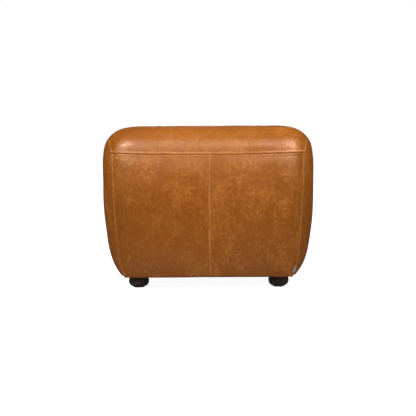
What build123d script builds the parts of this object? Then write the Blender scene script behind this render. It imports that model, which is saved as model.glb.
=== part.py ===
from build123d import *
import os

# A square leather pouf on four bun feet. A hardwood carcass with a sprung top carries foam,
# wadding and a sewn leather cover, and each turned foot screws into a corner post.
# The origin is on the floor under the middle of the pouf, +Z is up and the front faces -Y.
# All sizes are millimetres.

os.makedirs("parts", exist_ok=True)

# ---- the cover's outer form
WIDTH = 590
DEPTH = 560
HEIGHT = 450
UNDERSIDE = 30  # the cover's underside above the floor
SIDE_TUCK = 58  # how far each side draws in from the belly to the underside
FRONT_TUCK = 22  # the same for the front and the back
BELLY_DROP = 168  # from the crown down to where the sides stop swelling
ROLL_RADIUS = 80  # of the rounded top edges and upright corners
BOTTOM_CORNER_RADIUS = 12
FORM_STATIONS = (0, 0.06, 0.14, 0.26, 0.42, 0.62, 0.82, 1)  # shares of the swelling height

# ---- the leather cover
LEATHER = 1.5
SEAM_DROP = 78  # from the crown down to the seam across the front and the back
CHEEK_SEAM_SHARE = 0.34  # of the corner radius, from the side in to the cheek's seam
SEAM_FLARE = 6  # how far the cheek's seam runs outwards as it climbs the roll
FLARE_RISE = 40  # the height it takes to do so
STRIP_WIDTH = 150  # of the two inner strips of the top
HEM = 30  # turned under the carcass and stapled
TAG_WIDTH = 10
TAG_HEIGHT = 24
TAG_THICKNESS = 1
TAG_RISE = 14  # the tag's lower edge above the underside

# ---- fillings
WADDING = 8
FIRM_FOAM = 40  # thickness of the lower seat foam
HESSIAN = 1

# ---- carcass
FRAME_MARGIN = 16  # from the cover's bottom outline in to the carcass
FRAME_DROP = 84  # from the crown down to the top of the carcass
POST = 50
RAIL_THICKNESS = 22
BASE_RAIL_HEIGHT = 70
TOP_RAIL_HEIGHT = 60
BOARD = 3
BLOCK_WIDTH = 50  # where a corner block lies along its rail
BLOCK_HEIGHT = 45
BLOCK_GAP = 1  # between a corner block and its post

# ---- fasteners of the carcass
DOWEL_DIAMETER = 8
DOWEL_LENGTH = 36
DOWEL_END_GAP = 1  # left at each end of a dowel for the glue
FIT = 0.05  # all round a dowel, an insert, a screw or a pin
SCREW_RADIUS = 2
SCREW_LENGTH = 28
SCREW_HEAD_RADIUS = 4
SCREW_HEAD_HEIGHT = 3
SCREW_SEAT = 12  # wood left under the screw's head

# ---- springs
SPRING_COUNT = 5
SPRING_PITCH = 84
SPRING_WIRE = 3.6
SPRING_HALF_WIDTH = 25
SPRING_BARS = 21
SPRING_BEND = 10
SPRING_SETBACK = 14  # from the carcass face to a spring's end bar
CLIP_THICKNESS = 1.2
CLIP_WIDTH = 14
CLIP_FLAP = 10
NAIL_RADIUS = 1
NAIL_HEAD_RADIUS = 2.4
NAIL_HEAD = 0.8
NAIL_LENGTH = 20

# ---- underside
DUST_COVER = 0.8
STAPLE_WIDTH = 10
STAPLE_WIRE = 0.6
STAPLE_LEG = 8
STAPLE_PITCH = 48
HEM_STAPLE_EDGE = 4  # from the hem's inner edge
DUST_STAPLE_EDGE = 5  # from the dust cover's edge

# ---- feet
FOOT_GAP = 0.3  # between a foot and the dust cover
FOOT_RADIUS = 28.7
FOOT_BASE_RADIUS = 19
FOOT_TOP_RADIUS = 26
FOOT_BELLY = 16  # height of the widest part above the floor
FOOT_EDGE = 1
GLIDE_RADIUS = 15
GLIDE_THICKNESS = 1.5
GLIDE_EDGE = 0.4
GLIDE_PIN_RADIUS = 1.25
GLIDE_PIN_LENGTH = 8
BOLT_RADIUS = 3.95
BOLT_REACH = 22  # into the threaded insert
BOLT_SCREW_RADIUS = 3.4
BOLT_SCREW_LENGTH = 17  # into the foot
BOLT_EDGE = 0.6
BOLT_HOLE_GAP = 2  # round the bolt, through the dust cover
INSERT_WALL = 2
INSERT_LENGTH = 25

# ---- worked out from the sizes above
belly_height = HEIGHT - BELLY_DROP
frame_bottom = UNDERSIDE + LEATHER
frame_top = HEIGHT - FRAME_DROP
bottom_half_width = WIDTH / 2 - SIDE_TUCK
bottom_half_depth = DEPTH / 2 - FRONT_TUCK
frame_x = bottom_half_width - FRAME_MARGIN
frame_y = bottom_half_depth - FRAME_MARGIN
board_x = frame_x + BOARD
board_y = frame_y + BOARD
post_x = frame_x - POST / 2
post_y = frame_y - POST / 2
rail_x = frame_x - RAIL_THICKNESS / 2
rail_y = frame_y - RAIL_THICKNESS / 2
post_face_x = frame_x - POST
post_face_y = frame_y - POST
rail_face_x = frame_x - RAIL_THICKNESS
rail_face_y = frame_y - RAIL_THICKNESS
wire_height = frame_top + CLIP_THICKNESS + SPRING_WIRE / 2
deck_bottom = frame_top + 2 * CLIP_THICKNESS + SPRING_WIRE
deck_top = deck_bottom + HESSIAN
foam_split = deck_top + FIRM_FOAM
padding_inset = LEATHER + WADDING
dust_bottom = UNDERSIDE - DUST_COVER
foot_top = dust_bottom - FOOT_GAP
insert_bore = BOLT_RADIUS + FIT
insert_radius = insert_bore + INSERT_WALL
roll_height = HEIGHT - ROLL_RADIUS
seam_height = HEIGHT - SEAM_DROP
crest_y = DEPTH / 2 - ROLL_RADIUS
reach = WIDTH + DEPTH + HEIGHT  # longer than the pouf every way

sides = {"left": -1, "right": 1}
ends = {"front": -1, "back": 1}
corners = {f"{e}_{s}": (sides[s], ends[e]) for e in ends for s in sides}
on_base = (Align.CENTER, Align.CENTER, Align.MIN)


def save(piece, name):
    """Label a finished piece and write it under its own name."""
    piece.part.label = name
    export_step(piece.part, f"parts/{name}.step")


def section(z):
    """Half width, half depth and corner radius of the cover's outline at height z."""
    below = 1 - (z - UNDERSIDE) / (belly_height - UNDERSIDE)
    tuck = 0.5 * below**1.8 + 0.5 * below**7.5
    corner = ROLL_RADIUS - (ROLL_RADIUS - BOTTOM_CORNER_RADIUS) * below**5.5
    return WIDTH / 2 - SIDE_TUCK * tuck, DEPTH / 2 - FRONT_TUCK * tuck, corner


def form(inset, base):
    """The cover's form shrunk by inset all round, standing on height base."""
    with BuildPart(mode=Mode.PRIVATE) as crown:
        with BuildSketch(Plane.XY.offset(belly_height)):
            Rectangle(WIDTH - 2 * inset, DEPTH - 2 * inset)
        extrude(amount=HEIGHT - inset - belly_height)
        upright = crown.edges().filter_by(Axis.Z)
        upper = crown.faces().sort_by(Axis.Z)[-1].edges()
        fillet(upright + upper, radius=ROLL_RADIUS - inset)
    with BuildPart(mode=Mode.PRIVATE) as body:
        for share in FORM_STATIONS:
            z = base + (belly_height - base) * share
            half_width, half_depth, corner = section(z)
            with BuildSketch(Plane.XY.offset(z)):
                RectangleRounded(2 * (half_width - inset), 2 * (half_depth - inset), corner - inset)
        loft()
        add(crown.part)
    return body.part


def block(x, y, z):
    """A plain box between a low and a high limit along each axis."""
    with BuildPart(mode=Mode.PRIVATE) as made:
        with Locations((x[0], y[0], z[0])):
            Box(x[1] - x[0], y[1] - y[0], z[1] - z[0], align=Align.MIN)
    return made.part


def cut_out(name, stock, area, holes=()):
    """Save the share of a stock solid that lies inside an area, less its holes."""
    with BuildPart() as piece:
        add(stock)
        add(area, mode=Mode.INTERSECT)
        for hole in holes:
            add(hole, mode=Mode.SUBTRACT)
    save(piece, name)


def staples(half_x, half_y, crown_bottom, label):
    """Staples along a rectangle of edges, their crowns down and their legs up into the rails."""
    span_x = post_x - FOOT_RADIUS - STAPLE_WIDTH
    span_y = post_y - FOOT_RADIUS - STAPLE_WIDTH
    count_x = int(2 * span_x / STAPLE_PITCH) + 1
    count_y = int(2 * span_y / STAPLE_PITCH) + 1
    rows = (
        (GridLocations(STAPLE_PITCH, 2 * half_y, count_x, 2), STAPLE_WIDTH, STAPLE_WIRE),
        (GridLocations(2 * half_x, STAPLE_PITCH, 2, count_y), STAPLE_WIRE, STAPLE_WIDTH),
    )
    with BuildPart() as made:
        for places, size_x, size_y in rows:
            with BuildSketch(Plane.XY.offset(crown_bottom)):
                with places:
                    Rectangle(size_x, size_y)
            extrude(amount=STAPLE_LEG)
            with BuildSketch(Plane.XY.offset(crown_bottom + STAPLE_WIRE)):
                with places:
                    Rectangle(
                        max(size_x - 2 * STAPLE_WIRE, STAPLE_WIRE),
                        max(size_y - 2 * STAPLE_WIRE, STAPLE_WIRE),
                    )
            extrude(amount=STAPLE_LEG, mode=Mode.SUBTRACT)
    save(made, label)
    return made.part


# ---- fasteners, made first because the wood and the leather are pierced by them

hem_x = bottom_half_width - HEM
hem_y = bottom_half_depth - HEM
hem_staples = staples(hem_x + HEM_STAPLE_EDGE, hem_y + HEM_STAPLE_EDGE, UNDERSIDE, "hem_staples")
dust_staples = staples(
    frame_x - DUST_STAPLE_EDGE,
    frame_y - DUST_STAPLE_EDGE,
    dust_bottom - STAPLE_WIRE,
    "dust_cover_staples",
)

rail_levels = {
    "base": (frame_bottom, BASE_RAIL_HEIGHT),
    "top": (frame_top - TOP_RAIL_HEIGHT, TOP_RAIL_HEIGHT),
}
dowel_heights = [low + tall * share for low, tall in rail_levels.values() for share in (0.25, 0.75)]
dowel_places = [
    Location(place, turn)
    for sx, sy in corners.values()
    for z in dowel_heights
    for place, turn in (
        ((sx * post_face_x, sy * rail_y, z), (0, 90, 0)),
        ((sx * rail_x, sy * post_face_y, z), (90, 0, 0)),
    )
]
with BuildPart() as frame_dowels:
    with Locations(*dowel_places):
        Cylinder(DOWEL_DIAMETER / 2, DOWEL_LENGTH)
save(frame_dowels, "frame_dowels")
with BuildPart() as dowel_holes:
    with Locations(*dowel_places):
        Cylinder(DOWEL_DIAMETER / 2 + FIT, DOWEL_LENGTH + 2 * DOWEL_END_GAP)

# a corner block's two screws run square into its two rails, one above the other
block_near = 2 * (POST - RAIL_THICKNESS) + BLOCK_GAP
screw_offset = block_near + BLOCK_WIDTH / 2
block_levels = {"base": frame_bottom, "top": frame_top - BLOCK_HEIGHT}
screw_places = [
    Location(place, turn)
    for sx, sy in corners.values()
    for low in block_levels.values()
    for place, turn in (
        (
            (
                sx * (rail_face_x - screw_offset),
                sy * (rail_face_y - SCREW_SEAT),
                low + BLOCK_HEIGHT / 3,
            ),
            (sy * 90, 0, 0),
        ),
        (
            (
                sx * (rail_face_x - SCREW_SEAT),
                sy * (rail_face_y - screw_offset),
                low + 2 * BLOCK_HEIGHT / 3,
            ),
            (0, -sx * 90, 0),
        ),
    )
]
with BuildPart() as block_screws:
    with Locations(*screw_places):
        Cylinder(SCREW_HEAD_RADIUS, SCREW_HEAD_HEIGHT, align=on_base)
        with Locations((0, 0, -SCREW_LENGTH)):
            Cylinder(SCREW_RADIUS, SCREW_LENGTH, align=on_base)
save(block_screws, "block_screws")
with BuildPart() as screw_holes:
    with Locations(*screw_places):
        Cylinder(SCREW_HEAD_RADIUS + FIT, BLOCK_WIDTH, align=on_base)
        with Locations((0, 0, -SCREW_LENGTH - FIT)):
            Cylinder(SCREW_RADIUS + FIT, SCREW_LENGTH + FIT, align=on_base)

# ---- the sprung top

spring_end = frame_y - SPRING_SETBACK
bar_step = 2 * spring_end / (SPRING_BARS - 1)
spring_points = []
for bar in range(SPRING_BARS):
    swing = SPRING_HALF_WIDTH if bar % 2 else -SPRING_HALF_WIDTH
    bar_y = -spring_end + bar * bar_step
    spring_points += [(swing, bar_y), (-swing, bar_y)]
with BuildPart() as one_spring:
    with BuildLine(Plane.XY.offset(wire_height)) as spring_line:
        FilletPolyline(*spring_points, radius=SPRING_BEND)
    with BuildSketch(Plane(spring_line.line @ 0, z_dir=spring_line.line % 0)):
        Circle(SPRING_WIRE / 2)
    sweep()
with BuildPart() as sinuous_springs:
    with GridLocations(SPRING_PITCH, 0, SPRING_COUNT, 1):
        add(one_spring.part)
save(sinuous_springs, "sinuous_springs")

# a clip folds round the spring's end bar, and its two flaps are nailed down outside it
clip_bend = SPRING_WIRE / 2 + CLIP_THICKNESS
nail_y = spring_end + clip_bend + CLIP_FLAP / 2
with BuildPart() as clip_pair:
    with BuildSketch(Plane.YZ):
        with Locations((spring_end, wire_height)):
            Circle(clip_bend)
            Rectangle(clip_bend + CLIP_FLAP, 2 * clip_bend, align=(Align.MIN, Align.CENTER))
            Circle(SPRING_WIRE / 2, mode=Mode.SUBTRACT)
            Rectangle(reach, SPRING_WIRE, align=(Align.MIN, Align.CENTER), mode=Mode.SUBTRACT)
    extrude(amount=CLIP_WIDTH / 2, both=True)
    mirror(about=Plane.XZ)
with BuildPart() as clip_nails:
    with BuildSketch(Plane.XY.offset(deck_bottom - CLIP_THICKNESS - NAIL_HEAD)):
        with GridLocations(SPRING_PITCH, 2 * nail_y, SPRING_COUNT, 2):
            Circle(NAIL_HEAD_RADIUS)
    extrude(amount=NAIL_HEAD)
    with BuildSketch(Plane.XY.offset(deck_bottom - CLIP_THICKNESS - NAIL_HEAD)):
        with GridLocations(SPRING_PITCH, 2 * nail_y, SPRING_COUNT, 2):
            Circle(NAIL_RADIUS)
    extrude(amount=-NAIL_LENGTH)
save(clip_nails, "clip_nails")
with BuildPart() as spring_clips:
    with GridLocations(SPRING_PITCH, 0, SPRING_COUNT, 1):
        add(clip_pair.part)
    add(clip_nails.part, mode=Mode.SUBTRACT)
save(spring_clips, "spring_clips")

# the hessian lies over the springs and turns down to the rails all round
with BuildPart() as hessian_deck:
    add(block((-frame_x, frame_x), (-frame_y, frame_y), (frame_top, deck_top)))
    inner_x = frame_x - HESSIAN
    inner_y = frame_y - HESSIAN
    hollow = block((-inner_x, inner_x), (-inner_y, inner_y), (frame_top, deck_bottom))
    add(hollow, mode=Mode.SUBTRACT)
save(hessian_deck, "hessian_deck")

# ---- the carcass

for name, (sx, sy) in corners.items():
    with BuildPart() as corner_post:
        with Locations((sx * post_x, sy * post_y, frame_bottom)):
            Box(POST, POST, frame_top - frame_bottom, align=on_base)
            Cylinder(insert_radius + FIT, INSERT_LENGTH, align=on_base, mode=Mode.SUBTRACT)
        add(dowel_holes.part, mode=Mode.SUBTRACT)
        add(clip_nails.part, mode=Mode.SUBTRACT)
    save(corner_post, f"corner_post_{name}")

rail_holes = (
    dowel_holes.part,
    screw_holes.part,
    hem_staples,
    dust_staples,
    clip_nails.part,
)
for level, (low, tall) in rail_levels.items():
    span_z = (low, low + tall)
    for name, sy in ends.items():
        span_y = sorted((sy * rail_face_y, sy * frame_y))
        rail = block((-post_face_x, post_face_x), span_y, span_z)
        cut_out(f"{level}_rail_{name}", rail, rail, rail_holes)
    for name, sx in sides.items():
        span_x = sorted((sx * rail_face_x, sx * frame_x))
        rail = block(span_x, (-post_face_y, post_face_y), span_z)
        cut_out(f"{level}_rail_{name}", rail, rail, rail_holes)

for level, low in block_levels.items():
    with BuildPart() as corner_blocks:
        with BuildSketch(Plane.XY.offset(low)):
            with BuildLine():
                Polyline(
                    (rail_face_x - block_near, rail_face_y),
                    (rail_face_x - block_near - BLOCK_WIDTH, rail_face_y),
                    (rail_face_x, rail_face_y - block_near - BLOCK_WIDTH),
                    (rail_face_x, rail_face_y - block_near),
                    close=True,
                )
            make_face()
            mirror(about=Plane.XZ)
            mirror(about=Plane.YZ)
        extrude(amount=BLOCK_HEIGHT)
        add(screw_holes.part, mode=Mode.SUBTRACT)
    save(corner_blocks, f"{level}_corner_blocks")

span_z = (frame_bottom, frame_top)
for name, sy in ends.items():
    with BuildPart() as board:
        add(block((-frame_x, frame_x), sorted((sy * frame_y, sy * board_y)), span_z))
    save(board, f"{name}_board")
for name, sx in sides.items():
    with BuildPart() as board:
        add(block(sorted((sx * frame_x, sx * board_x)), (-frame_y, frame_y), span_z))
    save(board, f"{name}_board")

# ---- fillings

outer_form = form(0, UNDERSIDE)
lining_form = form(LEATHER, frame_bottom)
padding_form = form(padding_inset, frame_bottom)
everywhere = (-reach, reach)
pad_span = (frame_bottom, deck_top)

with BuildPart() as polyester_wadding:
    add(lining_form)
    add(padding_form, mode=Mode.SUBTRACT)
save(polyester_wadding, "polyester_wadding")

cut_out("seat_foam_base", padding_form, block(everywhere, everywhere, (deck_top, foam_split)))
cut_out("seat_foam_top", padding_form, block(everywhere, everywhere, (foam_split, reach)))
for name, sy in ends.items():
    area = block(everywhere, sorted((sy * board_y, sy * reach)), pad_span)
    cut_out(f"{name}_pad", padding_form, area)
for name, sx in sides.items():
    area = block(sorted((sx * board_x, sx * reach)), (-board_y, board_y), pad_span)
    cut_out(f"{name}_pad", padding_form, area)

# ---- the leather cover

with BuildPart() as leather:
    add(outer_form)
    add(lining_form, mode=Mode.SUBTRACT)
    with BuildSketch(Plane.XY.offset(UNDERSIDE)):
        Rectangle(2 * hem_x, 2 * hem_y)
    extrude(amount=LEATHER, mode=Mode.SUBTRACT)
    add(hem_staples, mode=Mode.SUBTRACT)
    add(dust_staples, mode=Mode.SUBTRACT)


def cheek_seam(z):
    """Half distance between the cheek seams at height z: part way round the upright corner."""
    half_width, _, corner = section(min(z, belly_height))
    climb = min(max((z - roll_height) / FLARE_RISE, 0), 1)
    return half_width - CHEEK_SEAM_SHARE * corner + SEAM_FLARE * climb**2 * (3 - 2 * climb)


with BuildPart() as between_cheeks:
    with BuildSketch(Plane.XZ):
        with BuildLine():
            lower = [UNDERSIDE + (belly_height - UNDERSIDE) * share for share in FORM_STATIONS]
            upper = [roll_height + FLARE_RISE * share for share in (0, 0.25, 0.5, 0.75, 1)]
            foot_of_seam = (cheek_seam(UNDERSIDE), UNDERSIDE)
            belly_of_seam = (cheek_seam(belly_height), belly_height)
            start_of_flare = (cheek_seam(roll_height), roll_height)
            head_of_seam = (cheek_seam(upper[-1]), upper[-1])
            Polyline((0, 0), (foot_of_seam[0], 0), foot_of_seam)
            Spline(*[(cheek_seam(z), z) for z in lower])
            Line(belly_of_seam, start_of_flare)
            Spline(*[(cheek_seam(z), z) for z in upper])
            Polyline(head_of_seam, (head_of_seam[0], reach), (0, reach))
            mirror(about=Plane.YZ)
        make_face()
    extrude(amount=reach, both=True)

# each cheek is also turned under its own side of the carcass
with BuildPart() as band:
    add(leather.part)
    add(between_cheeks.part, mode=Mode.INTERSECT)
    add(block(everywhere, (-hem_y, hem_y), (0, frame_bottom)), mode=Mode.SUBTRACT)
with BuildPart() as cheeks:
    add(leather.part)
    add(band.part, mode=Mode.SUBTRACT)

halves = {"left": (-reach, 0), "right": (0, reach)}
for name, half in halves.items():
    cut_out(f"{name}_cheek", cheeks.part, block(half, everywhere, everywhere))
for end, sy in ends.items():
    for name, half in halves.items():
        area = block(half, sorted((0, sy * reach)), (0, seam_height))
        cut_out(f"{end}_lower_{name}", band.part, area)
    area = block(everywhere, sorted((sy * crest_y, sy * reach)), (seam_height, reach))
    cut_out(f"{end}_roll", band.part, area)
strip_edges = (-reach, -STRIP_WIDTH, 0, STRIP_WIDTH, reach)
for number in range(4):
    area = block(strip_edges[number : number + 2], (-crest_y, crest_y), (seam_height, reach))
    cut_out(f"top_strip_{number + 1}", band.part, area)

# a blank folded tag lies on the front beside the right cheek's seam
tag_low = UNDERSIDE + TAG_RISE
tag_seam = cheek_seam(tag_low)
with BuildPart() as seam_tag:
    add(form(-TAG_THICKNESS, UNDERSIDE))
    add(outer_form, mode=Mode.SUBTRACT)
    tag_area = block((tag_seam - TAG_WIDTH, tag_seam), (-reach, 0), (tag_low, tag_low + TAG_HEIGHT))
    add(tag_area, mode=Mode.INTERSECT)
save(seam_tag, "seam_tag")

# ---- the underside

with BuildPart() as dust_cover:
    with BuildSketch(Plane.XY.offset(dust_bottom)):
        Rectangle(2 * frame_x, 2 * frame_y)
        with GridLocations(2 * post_x, 2 * post_y, 2, 2):
            Circle(BOLT_RADIUS + BOLT_HOLE_GAP, mode=Mode.SUBTRACT)
    extrude(amount=DUST_COVER)
    add(dust_staples, mode=Mode.SUBTRACT)
save(dust_cover, "dust_cover")

with BuildPart() as threaded_inserts:
    with BuildSketch(Plane.XY.offset(frame_bottom)):
        with GridLocations(2 * post_x, 2 * post_y, 2, 2):
            Circle(insert_radius)
            Circle(insert_bore, mode=Mode.SUBTRACT)
    extrude(amount=INSERT_LENGTH)
save(threaded_inserts, "threaded_inserts")

# ---- the feet: a turned bun, its hanger bolt and its glide

bolt_top = frame_bottom + BOLT_REACH
bolt_tip = foot_top - BOLT_SCREW_LENGTH
pin_top = GLIDE_THICKNESS + GLIDE_PIN_LENGTH
for name, (sx, sy) in corners.items():
    axis_plane = Plane(origin=(sx * post_x, sy * post_y, 0), x_dir=(1, 0, 0), z_dir=(0, -1, 0))
    axis = Axis((sx * post_x, sy * post_y, 0), (0, 0, 1))
    floor_plane = Plane.XY.move(Location((sx * post_x, sy * post_y, 0)))

    with BuildPart() as bun_foot:
        with BuildSketch(axis_plane):
            with BuildLine():
                belly = (FOOT_RADIUS, FOOT_BELLY)
                Polyline((0, foot_top), (0, GLIDE_THICKNESS), (FOOT_BASE_RADIUS, GLIDE_THICKNESS))
                TangentArc(belly, (FOOT_BASE_RADIUS, GLIDE_THICKNESS), tangent=(0, -1))
                TangentArc(belly, (FOOT_TOP_RADIUS, foot_top), tangent=(0, 1))
                Line((FOOT_TOP_RADIUS, foot_top), (0, foot_top))
            make_face()
        revolve(axis=axis)
        rims = bun_foot.edges().filter_by(GeomType.CIRCLE).filter_by(lambda e: e.radius < FOOT_RADIUS - 1)
        fillet(rims, radius=FOOT_EDGE)
        with BuildSketch(floor_plane.offset(bolt_tip - FIT)):
            Circle(BOLT_SCREW_RADIUS + FIT)
        extrude(amount=reach, mode=Mode.SUBTRACT)
        with BuildSketch(floor_plane):
            Circle(GLIDE_PIN_RADIUS + FIT)
        extrude(amount=pin_top + FIT, mode=Mode.SUBTRACT)
    save(bun_foot, f"bun_foot_{name}")

    with BuildPart() as hanger_bolt:
        with BuildSketch(floor_plane.offset(bolt_tip)):
            Circle(BOLT_SCREW_RADIUS)
        extrude(amount=BOLT_SCREW_LENGTH)
        with BuildSketch(floor_plane.offset(foot_top)):
            Circle(BOLT_RADIUS)
        extrude(amount=bolt_top - foot_top)
        chamfer(hanger_bolt.faces().sort_by(Axis.Z)[-1].edges(), length=BOLT_EDGE)
        chamfer(hanger_bolt.faces().sort_by(Axis.Z)[0].edges(), length=2 * BOLT_EDGE)
    save(hanger_bolt, f"hanger_bolt_{name}")

    with BuildPart() as glide:
        with BuildSketch(floor_plane):
            Circle(GLIDE_RADIUS)
        extrude(amount=GLIDE_THICKNESS)
        chamfer(glide.faces().sort_by(Axis.Z)[0].edges(), length=GLIDE_EDGE)
        with BuildSketch(floor_plane.offset(GLIDE_THICKNESS)):
            Circle(GLIDE_PIN_RADIUS)
        extrude(amount=GLIDE_PIN_LENGTH)
    save(glide, f"glide_{name}")
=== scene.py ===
import math

import bpy
import numpy as np
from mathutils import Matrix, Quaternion, Vector


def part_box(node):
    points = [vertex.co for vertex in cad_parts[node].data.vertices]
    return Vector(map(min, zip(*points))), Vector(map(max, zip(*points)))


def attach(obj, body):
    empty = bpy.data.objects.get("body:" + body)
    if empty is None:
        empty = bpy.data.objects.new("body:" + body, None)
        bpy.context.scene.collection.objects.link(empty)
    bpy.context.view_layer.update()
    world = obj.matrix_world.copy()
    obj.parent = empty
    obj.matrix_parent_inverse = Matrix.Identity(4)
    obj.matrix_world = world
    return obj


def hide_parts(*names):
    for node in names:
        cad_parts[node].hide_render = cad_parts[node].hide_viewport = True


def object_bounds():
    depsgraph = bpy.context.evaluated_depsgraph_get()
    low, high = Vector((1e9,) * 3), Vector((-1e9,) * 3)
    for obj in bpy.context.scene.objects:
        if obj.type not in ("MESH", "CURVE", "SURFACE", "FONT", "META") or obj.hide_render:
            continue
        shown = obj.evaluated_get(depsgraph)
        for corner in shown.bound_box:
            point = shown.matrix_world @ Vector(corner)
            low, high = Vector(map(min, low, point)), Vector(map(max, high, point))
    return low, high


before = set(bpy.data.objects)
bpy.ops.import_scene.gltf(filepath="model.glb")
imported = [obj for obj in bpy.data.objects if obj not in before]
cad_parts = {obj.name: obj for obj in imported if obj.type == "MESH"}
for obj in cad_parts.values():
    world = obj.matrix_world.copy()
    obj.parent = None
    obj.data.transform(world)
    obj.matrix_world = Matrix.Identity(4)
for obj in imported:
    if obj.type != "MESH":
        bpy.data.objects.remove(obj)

# A square leather pouf on four turned bun feet, in metres. The floor is z = 0, the front faces -Y
# and +X is the right. The cover is cut as twelve leather panels, and each panel is a grid of
# points on one soft outer form. A sewn seam is worked into the grid as a groove and a raised lap.

cad_low, cad_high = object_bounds()

# ---- sizes that the frame gives
lower_low, lower_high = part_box("front_lower_right")
strip_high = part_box("top_strip_3")[1]
carcass_front = -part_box("front_board")[0].y
side_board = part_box("right_board")[1].x
foam_low, foam_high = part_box("seat_foam_base")
half_width, half_depth, height = cad_high
underside = lower_low.z
cross_seam = lower_high.z
strip_seam = strip_high.x
crest = strip_high.y

# ---- the soft outer form
BELLY = 0.282  # height of the widest part
CROWN = 0.0048  # how far a panel swells between its seams
CROWN_REACH = 0.040  # from a seam to where the swell is mostly there
SIDE_TUCK = 0.0565  # how far each side draws in from the belly to the underside
FRONT_TUCK = 0.022
FRONT_LEAN = 0.005  # how far the front leans back between the belly and the cross seam
SHOULDER = 0.0040  # extra fullness of the sides over the top corners
TOP_DIP = 0.0022  # the sewn lines of the top lie this much under the full height
ROLL_DROP = 0.130  # height of the rolled top edge
SIDE_EASE = 0.0018  # the sides are this much wider than the crown alone would leave them
ROUNDNESS = 3.3  # power of the rounded edges: 2 is a circle, more is squarer
CORNER = half_depth - crest + 0.035  # radius of the upright corners and of the roll, in plan
BOTTOM_CORNER = 0.012
SEAM_SHARE = 0.200  # of the corner radius, from the side in to the cheek's seam
SEAM_DRIFT = 0.037  # and a little more half way up
FLARE = 0.0075  # how far the cheek's seam runs out again over the roll
FLARE_START = 0.368
FLARE_RISE = 0.042
SEAM_CURL = 0.0045  # how far the cross seam climbs at its two ends
CROSS_HALF = 0.26  # from the middle to those ends
STRIP_SHIFT = 0.003  # the top's seams sit this far to the right of the middle
MATT_FROM, MATT_TO = 0.415, 0.444  # the seat's leather is worn matt over this rise
LEATHER = 0.0014
HEM = 0.030  # turned under the carcass
FOLD = 0.0035  # radius of the turned lower edge
EDGE_LIFT = 0.0028  # the turned edge lies this much above the hem
EDGE_ARCH = 0.0010  # the lower edge arches up between the feet
ARCH_HALF = 0.19
SMALLEST_CORNER = 0.002

# ---- the spacing of a panel's grid
FINE_STEP = 0.0005
COARSE_STEP = 0.0040
STEP_GROWTH = 1.2

# ---- seams
FULL_LAP = 0.0013  # height of a lap at the cheeks' seams
MIDDLE_LAP = 0.0011
TOP_LAP = 0.0012
GROOVE = 0.0012  # depth
CROSS_GROOVE = 0.0017
FULL_SHADE_DEPTH = 0.0016  # depth of groove that gets the full painted shade
GROOVE_WIDTH = 0.0011
LAP_START = 0.0003
LAP_RISE = 0.0014
LAP_END = 0.0042
LAP_FALL = 0.0030
PUCKER = 0.00022
PUCKER_LENGTH = 0.012
STITCH_PITCH = 0.0052
STITCH_LENGTH = 0.0036
STITCH_RADIUS = 0.00038
STITCH_INSET = 0.0027  # from the seam


def smooth(x):
    """Smooth step: 0 below 0, 1 above 1, and 3x^2 - 2x^3 between."""
    x = np.clip(x, 0, 1)
    return x * x * (3 - 2 * x)


def section(z):
    """Half width, half depth and corner radius of the form at height z. The tuck is half of b^1.8
    and half of b^7.5, where b is the share of the way from the belly down."""
    b = np.clip(1 - (z - underside) / (BELLY - underside), 0, 1.05)
    tuck = 0.5 * b**1.8 + 0.5 * b**7.5
    corner = CORNER - (CORNER - BOTTOM_CORNER) * b**5.5
    lean = FRONT_LEAN * smooth((z - BELLY) / (cross_seam + 0.02 - BELLY))
    full = SHOULDER * smooth((z - cross_seam + 0.012) / 0.06)
    wide = half_width - CROWN + SIDE_EASE - SIDE_TUCK * tuck + full
    deep = half_depth - CROWN - (FRONT_TUCK - CROWN) * tuck - lean
    return wide, deep, corner


top = height - TOP_DIP
roll_start = top - ROLL_DROP


def past(x, half, corner):
    """How far |x| is past the flat of a side, in corner radii."""
    return np.maximum(np.abs(x) - (half - corner), 0) / corner


def shares(x, y, z):
    """How far round each of its edges the form is at a point, in corner radii: in x, y and z."""
    wide, deep, corner = section(z)
    return past(x, wide, corner), past(y, deep, corner), np.maximum(z - roll_start, 0) / ROLL_DROP


def unit(vectors):
    """The same vectors with a length of 1."""
    return vectors / np.maximum(np.linalg.norm(vectors, axis=-1, keepdims=True), 1e-12)


def outward(points):
    """Outward unit normals of the form: the gradient of ex^n + ey^n + ez^n by central steps."""
    step = 2e-5
    gradient = np.empty_like(points)
    for axis in range(3):
        shift = np.zeros(3)
        shift[axis] = step
        ahead = sum(e**ROUNDNESS for e in shares(*np.moveaxis(points + shift, -1, 0)))
        behind = sum(e**ROUNDNESS for e in shares(*np.moveaxis(points - shift, -1, 0)))
        gradient[..., axis] = ahead - behind
    return unit(gradient)


def left_over(a, b):
    """The third share of the form, (1 - a^n - b^n)^(1/n)."""
    return np.maximum(1 - a**ROUNDNESS - b**ROUNDNESS, 0) ** (1 / ROUNDNESS)


def reach(place, z, inset, forward):
    """Half depth of the form at x and z, or half width at y and z, less an inset all round."""
    wide, deep, corner = section(z)
    far, near = (deep, wide) if forward else (wide, deep)
    corner = np.maximum(corner - inset, SMALLEST_CORNER)
    ez = np.maximum(z - roll_start, 0) / (ROLL_DROP - inset)
    return far - inset - corner + corner * left_over(past(place, near - inset, corner), ez)


def front_depth(x, z, inset=0.0):
    """Half depth of the form at x and z."""
    return reach(x, z, inset, True)


def side_reach(y, z, inset=0.0):
    """Half width of the form at y and z."""
    return reach(y, z, inset, False)


def top_height(x, y):
    """Height of the form's top at x and y."""
    wide, deep, corner = section(np.full_like(x, top))
    return roll_start + ROLL_DROP * left_over(past(x, wide, corner), past(y, deep, corner))


def stacked(x, y, z):
    """Points from their coordinates."""
    return np.stack([x, y, z], axis=-1)


def on_front(x, z, end):
    """Points of the front (end -1) or the back (end 1) at x and z."""
    return stacked(x, end * front_depth(x, z), z)


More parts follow.
